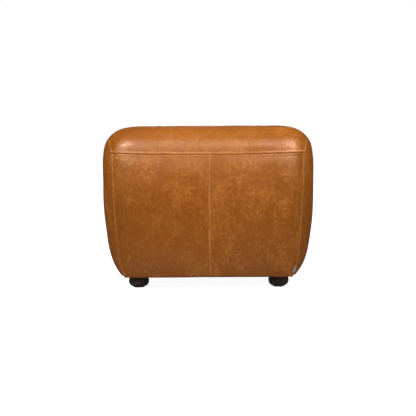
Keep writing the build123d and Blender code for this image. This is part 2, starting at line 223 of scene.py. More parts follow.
def seam_x(z):
    """Half distance between the cheek seams at height z, part way round the upright corner."""
    wide, _, corner = section(np.minimum(z, BELLY))
    up = np.clip((z - underside) / (cross_seam - underside), 0, 1)
    share = SEAM_SHARE + SEAM_DRIFT * 4 * up * (1 - up)
    return wide - share * corner + FLARE * smooth((z - FLARE_START) / FLARE_RISE)


def cross_line(x):
    """Height of the cross seam at x: level in the middle, climbing to its ends as |x|^2.5."""
    return cross_seam + SEAM_CURL * np.abs(x / CROSS_HALF) ** 2.5


def edge_line(x):
    """Height of the cover's lower edge at x: a shallow arch between the feet."""
    return underside + EDGE_LIFT + EDGE_ARCH * np.maximum(1 - (x / ARCH_HALF) ** 2, 0)


def graded(length, start=True, end=True, coarse=COARSE_STEP):
    """Shares from 0 to 1 along a length: steps are fine at a sewn end and grow to coarse ones."""
    count = int(math.log(coarse / FINE_STEP) / math.log(STEP_GROWTH))
    ramp = FINE_STEP * STEP_GROWTH ** np.arange(count)
    rest = length - ramp.sum() * (int(start) + int(end))
    middle = max(int(math.ceil(rest / coarse)), 1)
    steps = np.full(middle, max(rest, coarse / 2) / middle)
    steps = np.concatenate([ramp if start else [], steps, ramp[::-1] if end else []])
    return np.concatenate([[0], np.cumsum(steps) / steps.sum()])


def along(path):
    """Length run at each point of a path of straight pieces."""
    return np.concatenate([[0], np.cumsum(np.linalg.norm(np.diff(path, axis=0), axis=1))])


def resample(path, at):
    """Points of a path at the given lengths."""
    run = along(path)
    return np.stack([np.interp(at, run, path[:, k]) for k in range(3)], axis=-1)


def seam_distance(points, path):
    """Distance from every point to a path, and the length along the path at the nearest place."""
    flat = points.reshape(-1, 3)
    piece = np.diff(path, axis=0)
    squared = np.maximum((piece**2).sum(1), 1e-16)
    run = along(path)
    near, where = np.empty(len(flat)), np.empty(len(flat))
    for part in np.array_split(np.arange(len(flat)), max(len(flat) * len(path) // 1500000, 1)):
        offset = flat[part, None, :] - path[None, :-1, :]
        t = np.clip((offset * piece).sum(-1) / squared, 0, 1)
        apart = np.linalg.norm(offset - t[..., None] * piece, axis=-1)
        best = apart.argmin(1)
        row = np.arange(len(part))
        near[part] = apart[row, best]
        where[part] = run[best] + t[row, best] * np.sqrt(squared[best])
    return near.reshape(points.shape[:-1]), where.reshape(points.shape[:-1])


def full_turn(count):
    """Angles of a count of points evenly round a circle."""
    return np.linspace(0, 2 * math.pi, count, endpoint=False)


random = np.random.default_rng(11)
wave_count = 26
wave_length = random.uniform(0.06, 0.26, wave_count)
wave_turn = random.normal(size=(wave_count, 3))
wave_turn /= np.linalg.norm(wave_turn, axis=1, keepdims=True)
wave_phase = random.uniform(0, 2 * math.pi, wave_count)
wave_size = wave_length / wave_length.sum()


def dents(points):
    """Gentle unevenness of the stuffing: sine waves of 60 to 260 mm in seeded directions, added."""
    turns = points @ (wave_turn * (2 * math.pi / wave_length)[:, None]).T + wave_phase
    return (np.sin(turns) * wave_size).sum(-1) * 3


def lap(e):
    """Raised lap beside a seam: up over LAP_RISE, level to LAP_END and down over LAP_FALL."""
    return smooth((e - LAP_START) / LAP_RISE) * (1 - smooth((e - LAP_END) / LAP_FALL))


def grid_quads(rows, columns, closed=False):
    """Quads of a grid of points kept row by row, joined round if each row is a closed ring."""
    index = np.arange(rows * columns).reshape(rows, columns)
    if closed:
        index = np.concatenate([index, index[:, :1]], axis=1)
    corners = (index[:-1, :-1], index[:-1, 1:], index[1:, 1:], index[1:, :-1])
    return np.stack(corners, axis=-1).reshape(-1, 4)


def grid_normals(points):
    """Unit normals of a grid from the cross product of its two directions."""
    return unit(np.cross(np.gradient(points, axis=0), np.gradient(points, axis=1)))


middle_of_form = np.array([0, 0, height / 2])


def linked(name, data):
    """A new object of the scene."""
    made = bpy.data.objects.new(name, data)
    bpy.context.scene.collection.objects.link(made)
    return made


def put(name, points, faces, material, body="pouf", values=None, replaces=True):
    """Make a piece from arrays of points and faces, with a material, per-point values and a body.
    It stands for the frame's node of its own name, and its slot has its material's name."""
    mesh = bpy.data.meshes.new(name)
    points = np.asarray(points, float).reshape(-1, 3)
    mesh.from_pydata(points.tolist(), [], [list(map(int, f)) for f in faces])
    for label, value in (values or {}).items():
        attribute = mesh.attributes.new(label, "FLOAT", "POINT")
        full = np.broadcast_to(np.asarray(value, np.float32), len(points))
        attribute.data.foreach_set("value", np.ascontiguousarray(full))
    mesh.shade_smooth()
    mesh.materials.append(material)
    piece = linked(name, mesh)
    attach(piece, body)
    if replaces:
        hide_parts(name)
    return piece


def wall(piece, thickness, offset=-1.0):
    """Give an open surface its thickness, inwards from its outer face."""
    solid = piece.modifiers.new("thickness", "SOLIDIFY")
    solid.thickness = thickness
    solid.offset = offset
    solid.use_rim = True
    solid.use_even_offset = False


# ---------------------------------------------------------------- materials


class Nodes:
    """A small help for building a material's nodes: each call adds nodes and returns an output."""

    def __init__(self, name):
        self.material = bpy.data.materials.new(name)
        self.material.use_nodes = True
        self.tree = self.material.node_tree
        self.shader = self.tree.nodes["Principled BSDF"]
        self.object = self.add("TexCoord").outputs["Object"]

    def join(self, socket, value):
        if isinstance(value, bpy.types.NodeSocket):
            self.tree.links.new(value, socket)
        else:
            socket.default_value = value

    def add(self, kind, inputs=None, **settings):
        """Add a node with its settings, and set or link its inputs, given by name or place."""
        node = self.tree.nodes.new("ShaderNode" + kind)
        for key, value in settings.items():
            setattr(node, key, value)
        for key, value in (inputs or {}).items():
            self.join(node.inputs[key], value)
        return node

    def finish(self, **sockets):
        """Set or link the shader's own sockets, where an underscore stands for a space."""
        for key, value in sockets.items():
            self.join(self.shader.inputs[key.replace("_", " ")], value)
        return self.material

    def math(self, operation, a, b=0.0, clamp=False):
        node = self.add("Math", {0: a, 1: b}, operation=operation, use_clamp=clamp)
        return node.outputs[0]

    def mixed(self, *parts):
        """Sum of values, each times its weight, from pairs of a value and a weight."""
        weighed = [self.math("MULTIPLY", value, weight) for value, weight in parts]
        total = weighed[0]
        for part in weighed[1:]:
            total = self.math("ADD", total, part)
        return total

    def noise(self, scale, detail=3.0, rough=0.5, bend=0.0, at=None):
        inputs = {"Vector": at or self.object, "Scale": scale, "Detail": detail}
        inputs.update({"Roughness": rough, "Distortion": bend})
        return self.add("TexNoise", inputs).outputs["Fac"]

    def cells(self, scale, at=None, feature="F1"):
        inputs = {"Vector": at or self.object, "Scale": scale}
        return self.add("TexVoronoi", inputs, feature=feature).outputs["Distance"]

    def wave(self, scale, direction, bend, at=None):
        inputs = {"Vector": at or self.object, "Scale": scale, "Distortion": bend, "Detail": 3.0}
        return self.add("TexWave", inputs, bands_direction=direction).outputs["Fac"]

    def stretch(self, scale, turn=(0, 0, 0), at=None):
        inputs = {"Vector": at or self.object, "Scale": scale, "Rotation": turn}
        return self.add("Mapping", inputs).outputs["Vector"]

    def value(self, label):
        return self.add("Attribute", attribute_name=label).outputs["Fac"]

    def band(self, factor, low, high, to_low=0.0, to_high=1.0):
        inputs = {"Value": factor, "From Min": low, "From Max": high}
        inputs.update({"To Min": to_low, "To Max": to_high})
        node = self.add("MapRange", inputs, interpolation_type="SMOOTHSTEP")
        return node.outputs["Result"]

    def ramp(self, factor, *stops):
        node = self.add("ValToRGB", {"Fac": factor})
        elements = node.color_ramp.elements
        while len(elements) < len(stops):
            elements.new(0.5)
        for element, (place, colour) in zip(elements, stops):
            element.position = place
            element.color = (*colour, 1)
        return node.outputs["Color"]

    def blend(self, factor, a, b):
        a, b = (c if isinstance(c, bpy.types.NodeSocket) else (*c, 1) for c in (a, b))
        return self.add("Mix", {0: factor, 6: a, 7: b}, data_type="RGBA").outputs[2]

    def bump(self, heights, distance, strength, under=None):
        inputs = {"Height": heights, "Distance": distance, "Strength": strength}
        if under is not None:
            inputs["Normal"] = under
        return self.add("Bump", inputs).outputs["Normal"]


def make_leather():
    """Cognac aniline leather: cloudy dye in five sizes, pale veins and scars, a fine pebble grain,
    laps paler (stretched, plus a painted highlight), painted shade in the grooves and a seat worn
    matt. The value cut moves it in the hide."""
    n = Nodes("cognac_leather")
    moved = [n.math("MULTIPLY", n.value("cut"), share) for share in (1.3, 2.1, 0.7)]
    shift = n.add("CombineXYZ", dict(enumerate(moved))).outputs[0]
    at = n.add("VectorMath", {0: n.object, 1: shift}, operation="ADD").outputs[0]
    cloud = n.noise(7.0, 4, 0.55, 0.4, at)
    patch = n.noise(24.0, 5, 0.64, 0.5, at)
    fleck = n.noise(105.0, 4, 0.70, 0.15, at)
    speck = n.noise(290.0, 4, 0.7, 0.5, at)
    drawn = n.noise(60.0, 3, 0.6, 0.4, n.stretch((1, 1, 0.22), at=at))
    dye = n.ramp(
        n.mixed((cloud, 0.16), (patch, 0.15), (drawn, 0.13), (fleck, 0.30), (speck, 0.26)),
        (0.37, (0.205, 0.054, 0.0026)),
        (0.50, (0.250, 0.068, 0.0034)),
        (0.62, (0.430, 0.145, 0.0130)),
    )

    def lines(field, centre, width):
        """Thin lines where a field passes a centre value."""
        off = n.math("ABSOLUTE", n.math("SUBTRACT", field, centre))
        return n.band(off, 0.0, width, 1.0, 0.0)

    vein = lines(n.noise(30.0, 3, 0.55, 1.6, at), 0.5, 0.018)
    along_scar = n.stretch((1.0, 1.0, 0.6), (0.3, 0.7, 0.2), at)
    scar = lines(n.noise(9.0, 2, 0.5, 3.0, along_scar), 0.52, 0.008)
    where = n.band(n.noise(11.0, 2, 0.5, 0.0, at), 0.42, 0.60)
    marks = n.math("MULTIPLY", n.math("MAXIMUM", n.math("MULTIPLY", vein, 0.75), scar), where)
    marks = n.math("MULTIPLY", marks, n.value("marks"), clamp=True)
    stretch_sheen_and_groove_shade = n.value("stretch_sheen_and_groove_shade")
    dye = n.blend(n.math("MULTIPLY", marks, 0.60), dye, (0.50, 0.220, 0.060))
    # laps paler: partly the stretched leather's own paling, partly a painted highlight
    dye = n.blend(n.band(stretch_sheen_and_groove_shade, 0.0, 1.0, 0.0, 0.22), dye, (0.58, 0.270, 0.095))
    # painted shade: the grooves get a near black blended in by their depth
    dye = n.blend(n.band(stretch_sheen_and_groove_shade, 0.0, -1.0, 0.0, 0.85), dye, (0.085, 0.026, 0.006))
    pebble = n.cells(620.0, at, "SMOOTH_F1")
    crease = n.cells(240.0, n.stretch((1, 1, 0.7), at=at), "DISTANCE_TO_EDGE")
    grain = n.mixed((pebble, 0.5), (n.band(crease, 0.0, 0.12), 0.35))
    normal = n.bump(fleck, 0.0012, 0.5, n.bump(patch, 0.0012, 0.35))
    normal = n.bump(grain, 0.00045, 0.7, normal)
    level = n.add("SeparateXYZ", {0: n.object}).outputs["Z"]
    rough = n.math("ADD", n.band(patch, 0.3, 0.7, 0.29, 0.39), n.math("MULTIPLY", marks, 0.06))
    rough = n.math("ADD", rough, n.band(level, MATT_FROM, MATT_TO, 0.0, 0.24))
    n.finish(Base_Color=dye, Roughness=rough, Normal=normal)
    return n.finish(Specular_IOR_Level=1.0, Specular_Tint=(1.0, 0.74, 0.55, 1.0))


def make_foot_wood():
    """Beech stained nearly black under a glossy lacquer: turning lines and a faint grain."""
    n = Nodes("dark_stained_wood")
    grain = n.noise(45.0, 5, 0.65, 0.5, n.stretch((1, 1, 0.12)))
    stain = n.ramp(
        grain,
        (0.30, (0.022, 0.0135, 0.0090)),
        (0.55, (0.046, 0.0290, 0.0190)),
        (0.80, (0.075, 0.048, 0.032)),
    )
    normal = n.bump(grain, 0.0003, 0.25, n.bump(n.wave(260.0, "Z", 0.6), 0.00012, 0.25))
    n.finish(Base_Color=stain, Roughness=n.band(grain, 0.3, 0.7, 0.30, 0.42), Normal=normal)
    n.finish(Specular_IOR_Level=0.25, Specular_Tint=(1.0, 0.82, 0.66, 1.0))
    return n.finish(Coat_Weight=1.0, Coat_Roughness=0.18)


def make_carcass_wood():
    """Sawn hardwood: long pale grain with darker pores."""
    n = Nodes("carcass_wood")
    rings = n.wave(22.0, "X", 5.0, n.stretch((1, 1, 0.25), (0.1, 0.2, 0.3)))
    pores = n.noise(300.0, 3, 0.6, 0.2, n.stretch((1, 1, 0.08)))
    grain = n.mixed((rings, 0.6), (pores, 0.4))
    stops = (0.2, (0.36, 0.23, 0.12)), (0.55, (0.52, 0.36, 0.20)), (0.85, (0.62, 0.46, 0.28))
    n.finish(Base_Color=n.ramp(grain, *stops), Roughness=n.band(pores, 0.3, 0.7, 0.55, 0.72))
    return n.finish(Normal=n.bump(pores, 0.0004, 0.4))


def make_hardboard():
    """Hardboard: brown pressed fibre, smooth with a faint felted pattern."""
    n = Nodes("hardboard")
    fibre = n.noise(420.0, 5, 0.7, 1.0)
    felted = n.mixed((fibre, 0.5), (n.noise(12.0, 3), 0.5))
    board = n.ramp(felted, (0.3, (0.10, 0.052, 0.026)), (0.7, (0.19, 0.105, 0.055)))
    n.finish(Base_Color=board, Roughness=n.band(fibre, 0.3, 0.7, 0.45, 0.62))
    return n.finish(Normal=n.bump(fibre, 0.0002, 0.5))


def make_steel(name, dark, light, rough):
    """Wire or sheet steel: fine drawn scratches and slight clouding."""
    n = Nodes(name)
    cloud = n.noise(60.0, 4, 0.6)
    scratch = n.noise(900.0, 3, 0.6, 0.0, n.stretch((1, 0.15, 1)))
    metal = n.ramp(n.mixed((cloud, 0.6), (scratch, 0.4)), (0.3, dark), (0.7, light))
    n.finish(Base_Color=metal, Roughness=n.band(cloud, 0.3, 0.7, rough - 0.08, rough + 0.08))
    return n.finish(Normal=n.bump(scratch, 0.00005, 0.4), Metallic=1.0)


def make_foam(name, pale, deep):
    """Cut foam: open cells and a slight yellowing."""
    n = Nodes(name)
    cell = n.cells(700.0)
    foam = n.ramp(n.mixed((cell, 0.45), (n.noise(9.0, 3), 0.55)), (0.25, deep), (0.7, pale))
    n.finish(Base_Color=foam, Roughness=n.band(cell, 0.0, 0.7, 0.95, 0.82))
    return n.finish(Normal=n.bump(cell, 0.0006, 0.7), Subsurface_Weight=0.08, Sheen_Weight=0.2)


def make_wadding():
    """Polyester wadding: matted white fibre in soft tufts."""
    n = Nodes("wadding")
    hair = n.noise(520.0, 4, 0.75, 2.5, n.stretch((1, 0.3, 0.5), (0.4, 0.3, 0.8)))
    matted = n.mixed((n.noise(55.0, 5, 0.7, 1.5), 0.5), (hair, 0.5))
    fluff = n.ramp(matted, (0.3, (0.66, 0.66, 0.64)), (0.7, (0.86, 0.86, 0.85)))
    n.finish(Base_Color=fluff, Roughness=n.band(hair, 0.3, 0.7, 0.98, 0.85))
    return n.finish(Normal=n.bump(matted, 0.0015, 0.8), Sheen_Weight=0.5, Sheen_Roughness=0.6)


def make_cloth(name, pitch, dark, light, deep):
    """Plain weave on the piece's own x and y: two sets of threads crossing over each other."""
    n = Nodes(name)
    bands = 0.31831 / pitch  # a wave texture's bands repeat every pi units
    weave = n.math("MAXIMUM", n.wave(bands, "X", 0.4), n.wave(bands, "Y", 0.4))
    slub = n.noise(120.0, 4, 0.6, 0.0, n.stretch((1, 0.12, 1)))
    cloth = n.ramp(n.mixed((weave, 0.55), (slub, 0.45)), (0.25, dark), (0.75, light))
    n.finish(Base_Color=cloth, Roughness=n.band(slub, 0.3, 0.7, 0.95, 0.8))
    return n.finish(Normal=n.bump(weave, deep, 0.8), Sheen_Weight=0.25)


def make_plastic():
    """Moulded glide plastic: brown-black with a slight orange-peel surface and scuffs."""
    n = Nodes("glide_plastic")
    scuff = n.noise(90.0, 5, 0.7, 1.0)
    plastic = n.ramp(scuff, (0.35, (0.030, 0.022, 0.018)), (0.75, (0.060, 0.047, 0.040)))
    n.finish(Base_Color=plastic, Roughness=n.band(scuff, 0.3, 0.7, 0.35, 0.55))
    return n.finish(Normal=n.bump(n.noise(350.0, 2), 0.0001, 0.3))


def make_thread():
    """Waxed bonded thread, a shade darker than the leather, with a twist."""
    n = Nodes("sewing_thread")
    twist = n.wave(900.0, "Z", 1.5, n.stretch((1, 1, 1), (0.6, 0.5, 0.0)))
    colour = n.ramp(twist, (0.2, (0.20, 0.080, 0.020)), (0.8, (0.36, 0.160, 0.050)))
    n.finish(Base_Color=colour, Roughness=n.band(twist, 0.0, 1.0, 0.5, 0.65))
    return n.finish(Normal=n.bump(twist, 0.0001, 0.6))


leather = make_leather()
foot_wood = make_foot_wood()
wood = make_carcass_wood()
hardboard = make_hardboard()
spring_steel = make_steel("spring_steel", (0.16, 0.15, 0.14), (0.34, 0.33, 0.32), 0.38)
zinc_steel = make_steel("zinc_steel", (0.52, 0.52, 0.50), (0.74, 0.75, 0.76), 0.30)
firm_foam = make_foam("firm_foam", (0.62, 0.68, 0.72), (0.42, 0.49, 0.55))
soft_foam = make_foam("soft_foam", (0.84, 0.80, 0.66), (0.70, 0.63, 0.46))
wadding = make_wadding()
hessian = make_cloth("hessian", 0.0022, (0.20, 0.13, 0.065), (0.47, 0.35, 0.20), 0.0008)
dust_cloth = make_cloth("dust_cloth", 0.0011, (0.008, 0.008, 0.009), (0.030, 0.030, 0.032), 0.0003)
tag_cloth = make_cloth("tag_cloth", 0.0005, (0.15, 0.135, 0.105), (0.33, 0.30, 0.245), 0.0001)
plastic = make_plastic()
thread = make_thread()

# the leather panels, one after another, take different places of the hide
panel_count = 0
stitch_lines = []  # (points, normals) of every line of stitches


def sew_panel(name, body_rows, fold_rows, seams, marks, hem_row=None, uneven=0.0020, crown=CROWN):
    """Finish a leather panel from its grid. body_rows lie on the form and fold_rows turn under it.
    Each point moves along its normal by the crown between the seams, the stuffing's dents, each
    seam's groove and lap, and small puckers that fade away from the seam. A seam is (path, lap
    height, groove depth, pucker share), and hem_row is a path where only the crown ends."""
    global panel_count
    panel_count += 1
    points = body_rows if fold_rows is None else np.concatenate([body_rows, fold_rows])
    normal = grid_normals(points)
    turned_in = (normal * (points - middle_of_form)).sum() < 0
    if turned_in:
        normal = -normal
    normal[: len(body_rows)] = outward(body_rows)
    swell = np.ones(points.shape[:-1])
    move = np.zeros(points.shape[:-1])
    stretch_sheen_and_groove_shade = np.zeros(points.shape[:-1])
    for path, high, deep, pucker in seams:
        e, run = seam_distance(points, path)
        swell *= 1 - np.exp(-e / CROWN_REACH)
        groove = np.exp(-((e / GROOVE_WIDTH) ** 2))
        gather = 0.6 + 0.4 * np.sin(run * 37 + panel_count)
        ripple = np.sin(2 * math.pi * (run / PUCKER_LENGTH + 0.35 * np.sin(run * 61 + panel_count)))
        fade = smooth(e / 0.004) * np.exp(-((e / 0.013) ** 2))
        move += high * lap(e) - deep * groove + pucker * PUCKER * gather * ripple * fade
        # laps are paled, partly as stretched leather pales and partly as a painted highlight;
        # grooves get painted shade
        stretch_sheen_and_groove_shade += high / FULL_LAP * lap(e) * 0.9 - groove * min(deep / FULL_SHADE_DEPTH, 1)
    if hem_row is not None:
        e, _ = seam_distance(points, hem_row)
        swell *= 1 - np.exp(-e / (0.7 * CROWN_REACH))
    move += crown * swell + uneven * dents(points) * swell
    if fold_rows is not None:
        move[len(body_rows) + 4 :] *= 0.3
    moved = points + normal * move[..., None]
    faces = grid_quads(*points.shape[:2])
    if turned_in:
        faces = faces[:, ::-1]
    values = {"stretch_sheen_and_groove_shade": stretch_sheen_and_groove_shade.ravel(), "cut": panel_count * 0.37, "marks": marks}
    wall(put(name, moved, faces, leather, values=values), LEATHER)
    return moved, normal


def stitch_line(moved, normal, axis, inset=STITCH_INSET, last=False):
    """Note a line of stitches on a finished panel, inset from its first or last row or column."""
    grid, up = (moved, normal) if axis == 0 else (moved.swapaxes(0, 1), normal.swapaxes(0, 1))
    if last:
        grid, up = grid[::-1], up[::-1]
    gap = np.linalg.norm(np.diff(grid, axis=0), axis=-1).mean(1)
    run = np.concatenate([[0], np.cumsum(gap)])
    k = int(np.searchsorted(run, inset)) - 1
    t = (inset - run[k]) / (run[k + 1] - run[k])
    stitch_lines.append((grid[k] * (1 - t) + grid[k + 1] * t, up[k] * (1 - t) + up[k + 1] * t))


def fold_under(above, corner, inner):
    """Rows that turn the lower edge under: a quadratic curve round the corner, then the flat hem.
    The hem starts FOLD past the corner and runs to the inner edge."""
    level = np.linalg.norm(inner - corner, axis=-1, keepdims=True)
    start = corner + (inner - corner) * np.minimum(FOLD / np.maximum(level, 1e-6), 0.5)
    rows = []
    for t in (0.2, 0.4, 0.6, 0.8, 1.0):
        rows.append((1 - t) ** 2 * above + 2 * t * (1 - t) * corner + t * t * start)
    for t in (0.15, 0.4, 0.7, 1.0):
        row = start * (1 - t) + inner * t
        row[:, 2] = underside + (start[:, 2] - underside) * (1 - t) ** 3
        rows.append(row)
    return np.stack(rows)


hem_x, hem_y = (half - HEM for half in section(underside)[:2])


def lower_panel(name, side, end, marks):
    """A front or back lower panel. Across it, x is a share of the seam's half distance; down it, z
    runs from the cross seam to the folded edge; the depth is the form's own."""
    across = graded(seam_x(BELLY))
    down = graded(cross_seam - underside, True, False)
    u, w = np.meshgrid(across, down)
    rough_z = cross_seam - (cross_seam - underside - FOLD) * w
    x = side * u * seam_x(rough_z)
    low = edge_line(x)
    z = cross_line(x) + (low + FOLD - cross_line(x)) * w
    x = side * u * seam_x(z)
    body = on_front(x, z, end)
    low = edge_line(body[-1, :, 0])
    corner = on_front(side * across * seam_x(low), low, end)
    inner = corner.copy()
    inner[:, 1:] = end * hem_y, underside
    fold = fold_under(body[-1], corner, inner)
    whole = np.concatenate([body, fold])
    lapped = side > 0
    seams = [
        (whole[:, 0], MIDDLE_LAP if lapped else 0.0002, 0.0013, 0.7),
        (whole[:, -1], FULL_LAP, GROOVE, 1.0),
        (whole[0], 0.0005, CROSS_GROOVE, 1.0),
    ]
    moved, normal = sew_panel(name, body, fold, seams, marks, body[-1])
    stitch_line(moved[: len(body)], normal[: len(body)], 1, last=True)
    if lapped:
        stitch_line(moved[: len(body)], normal[: len(body)], 1)


def roll_row(x, t, end):
    """Points of the rolled edge at x and turn t, a superellipse whose size shrinks round the
    corner, and that size."""
    wide, _, corner = section(np.full_like(x, top))
    size = left_over(past(x, wide, corner), np.zeros_like(x))
    power = 2 / ROUNDNESS
    z = roll_start + ROLL_DROP * size * np.sin(t) ** power
    _, deep, corner = section(z)
    y = deep - corner + corner * size * np.cos(t) ** power
    return stacked(x, end * y, z), size


def roll_grid(across, up, end):
    """Grid of a roll. t goes from the cross seam to the crest; x is a share of the seam's half
    distance at the point's own height, found by a few rounds of substitution."""
    u, w = np.meshgrid(across, up)
    x = u * seam_x(cross_seam)
    for _ in range(8):
        _, size = roll_row(x, np.zeros_like(x), end)
        _, deep, corner = section(np.full_like(x, top))
        rise = np.clip((cross_line(x) - roll_start) / (ROLL_DROP * size), 0, 1)
        t_low = np.arcsin(rise ** (ROUNDNESS / 2))
        over = np.clip((crest - (deep - corner)) / (corner * size), 0, 1)
        t_high = np.arccos(over ** (ROUNDNESS / 2))
        points, _ = roll_row(x, t_low + (t_high - t_low) * w, end)
        x = u * seam_x(points[..., 2])
    return points


def even_turn(shares_wanted):
    """Turn shares that give the wanted shares of the arc's length, on the middle of the roll."""
    w = np.linspace(0, 1, 600)
    line = roll_grid(np.array([0.0]), w, -1)[:, 0]
    run = along(line)
    return np.interp(shares_wanted * run[-1], run, w), run[-1]


roll_length = even_turn(np.array([1.0]))[1]
roll_turns = even_turn(graded(roll_length))[0]


def roll_panel(name, end, marks):
    """The panel over the top edge, from the cross seam to the crest."""
    half = graded(seam_x(cross_seam), False, True)
    across = np.concatenate([-half[::-1], half[1:]])
    body = roll_grid(across, roll_turns, end)
    seams = [
        (body[:, 0], FULL_LAP, GROOVE, 1.0),
        (body[:, -1], FULL_LAP, GROOVE, 1.0),
        (body[0], MIDDLE_LAP, CROSS_GROOVE, 1.0),
        (body[-1], 0.0009, GROOVE, 1.0),
    ]
    moved, normal = sew_panel(name, body, None, seams, marks, uneven=0.0012)
    for axis, last in ((1, False), (1, True), (0, False), (0, True)):
        stitch_line(moved, normal, axis, last=last)


top_seam_x = float(seam_x(top))
inner_edges = [STRIP_SHIFT + shift for shift in (-strip_seam, 0, strip_seam)]
strip_edges = (-top_seam_x, *inner_edges, top_seam_x)


def top_strip(number, marks):
    """A strip of the top between two seams, front crest to back crest."""
    x0, x1 = strip_edges[number - 1 : number + 1]
    across = x0 + (x1 - x0) * graded(x1 - x0)
    along_y = crest * (2 * graded(2 * crest) - 1)
    x, y = np.meshgrid(across, along_y)
    body = stacked(x, y, top_height(x, y))
    outer_left, outer_right = number == 1, number == 4
    seams = [
        (body[:, 0], 0.0004 if outer_left else TOP_LAP, 0.0010, 1.0),
        (body[:, -1], 0.0004 if outer_right else TOP_LAP, 0.0010, 1.0),
        (body[0], 0.0003, GROOVE, 1.0),
        (body[-1], 0.0003, GROOVE, 1.0),
    ]
    name = f"top_strip_{number}"
    moved, normal = sew_panel(name, body, None, seams, marks, uneven=0.0007, crown=0.4 * CROWN)
    if not outer_left:
        stitch_line(moved, normal, 1)
    if not outer_right:
        stitch_line(moved, normal, 1, last=True)


OUTLINE_POINTS = 160


def cheek_outline():
    """Half of a cheek's seam, as points from the underside up the front to the middle of the top,
    and the length along it at which the cheek's patch turns from its front edge to its top edge."""
    z = np.linspace(underside, cross_line(seam_x(cross_seam)), OUTLINE_POINTS)
    x = seam_x(z)
    front = on_front(x, z, -1)
    over = roll_grid(np.array([1.0]), np.linspace(0, 1, OUTLINE_POINTS), -1)[:, 0]
    y = np.linspace(-crest, 0, OUTLINE_POINTS // 2)
    x = np.full_like(y, top_seam_x)
    flat = stacked(x, y, top_height(x, y))
    path = np.concatenate([front, over[1:], flat[1:]])
    turn = along(np.concatenate([front, over[1 : OUTLINE_POINTS // 2 + 1]]))[-1]
    return path, turn


def coons(bottom, crest_edge, left, right):
    """A patch between four edge curves: two ruled surfaces, less the one through the corners."""
    v = (along(left) / along(left)[-1])[:, None, None]
    u = (along(bottom) / along(bottom)[-1])[None, :, None]
    across = left[:, None] * (1 - u) + right[:, None] * u
    upward = bottom[None] * (1 - v) + crest_edge[None] * v
    low = bottom[0] * (1 - u) + bottom[-1] * u
    high = crest_edge[0] * (1 - u) + crest_edge[-1] * u
    return across + upward - (low * (1 - v) + high * v)


def cheek(name, side, marks):
    """A cheek: a patch in side view between the seam's front, top and back and the lower edge, with
    x taken from the form. Its lower edge turns under."""
    path, turn = cheek_outline()
    run = along(path)
    lifted = underside + EDGE_LIFT
    first = np.interp(lifted + FOLD, path[:OUTLINE_POINTS, 2], run[:OUTLINE_POINTS])
    up = resample(path, first + (turn - first) * graded(turn - first, False, True))
    span = run[-1] - turn
    half_top = resample(path, turn + span * graded(span, False, False))
    share = graded(2 * span, True, True)
    mirror = np.array([1, -1, 1])
    whole_top = np.concatenate([half_top, half_top[-2::-1] * mirror])
    top_edge = resample(whole_top, along(whole_top)[-1] * share)
    up[0, 2] = lifted + FOLD
    bottom = stacked(0 * share, -up[0, 1] * (2 * share - 1), np.full_like(share, up[0, 2]))
    patch = coons(bottom, top_edge, up, up * mirror)
    patch[..., 0] = side_reach(patch[..., 1], patch[..., 2])
    patch[:, 0, 0] = patch[:, -1, 0] = up[:, 0]
    patch[-1, :, 0] = top_edge[:, 0]
    body = patch[::-1].copy()
    seam_end, seam_y = path[0, :2]
    # Known fault: this minus sign sends the hem's front end under the back and its back end under
    # the front, so the hem crosses itself under the cheek.
    corner_y = body[-1, :, 1] * -(seam_y / up[0, 1])
    level = np.full_like(corner_y, lifted)
    corner = stacked(side_reach(corner_y, level), corner_y, level)
    corner[[0, -1], 0] = seam_end
    out = np.abs(corner_y)
    stop = hem_y + 0.0004
    start = stop - (seam_end - hem_x)
    inward = np.clip((stop - out) / (stop - start), 0, 1)
    beside = np.minimum(seam_end + 0.0004, corner[:, 0])
    in_x = np.where(out > stop, beside, seam_end + (hem_x - seam_end) * inward)
    in_y = np.where(out > start, np.minimum(np.maximum(out, stop), out.max()), out * stop / start)
    inner = stacked(in_x, np.sign(corner_y) * in_y, np.full_like(in_x, underside))
    fold = fold_under(body[-1], corner, inner)
    turned = np.array([side, 1, 1])
    seam_path = np.concatenate([path, path[-2::-1] * mirror]) * turned
    seams = [(seam_path, 0.0002, GROOVE, 1.0)]
    body = body * turned
    sew_panel(name, body, fold * turned, seams, marks, body[-1])


for end_name, end in (("front", -1), ("back", 1)):
    lower_panel(f"{end_name}_lower_left", -1, end, 0.45)
    lower_panel(f"{end_name}_lower_right", 1, end, 1.0)
    roll_panel(f"{end_name}_roll", end, 0.5)
for number in (1, 2, 3, 4):
    top_strip(number, 0.6)
cheek("left_cheek", -1, 0.5)
cheek("right_cheek", 1, 0.7)


def sew_thread(lines):
    """Stitches along every noted line: a small spindle per stitch, laid on the surface.
    The spindle is six points round by four rings long, thinner at its ends."""
    turn = full_turn(6)
    rings = np.array([(-0.5, 0.35), (-0.28, 1.0), (0.28, 1.0), (0.5, 0.35)])
    long, thick = rings[:, :1] * STITCH_LENGTH, rings[:, 1:] * STITCH_RADIUS
    shape = stacked(long + 0 * turn, thick * np.cos(turn), thick * np.sin(turn)).reshape(-1, 3)
    caps = [list(range(5, -1, -1)), list(range(18, 24))]
    kinds = [grid_quads(4, 6, closed=True), np.array(caps)]
    points, faces, total = [], [], 0
    for line, up in lines:
        run = along(line)
        at = np.arange(STITCH_PITCH, run[-1] - STITCH_PITCH / 2, STITCH_PITCH)
        normal = np.stack([np.interp(at, run, up[:, k]) for k in range(3)], -1)
        ahead = unit(resample(line, at + 0.0005) - resample(line, at - 0.0005))
        aside = unit(np.cross(normal, ahead))
        above = np.cross(ahead, aside)
        centre = resample(line, at) + above * STITCH_RADIUS * 0.3
        laid = np.einsum("pk,mkc->mpc", shape, np.stack([ahead, aside, above], axis=1))
        points.append((laid + centre[:, None]).reshape(-1, 3))
        starts = total + len(shape) * np.arange(len(at))[:, None, None]
        for kind in kinds:
            faces += (kind[None] + starts).reshape(-1, kind.shape[1]).tolist()
        total += len(shape) * len(at)
    return put("sewing_thread", np.concatenate(points), faces, thread, replaces=False)


sew_thread(stitch_lines)


# ---------------------------------------------------------------- closed solids made of rings


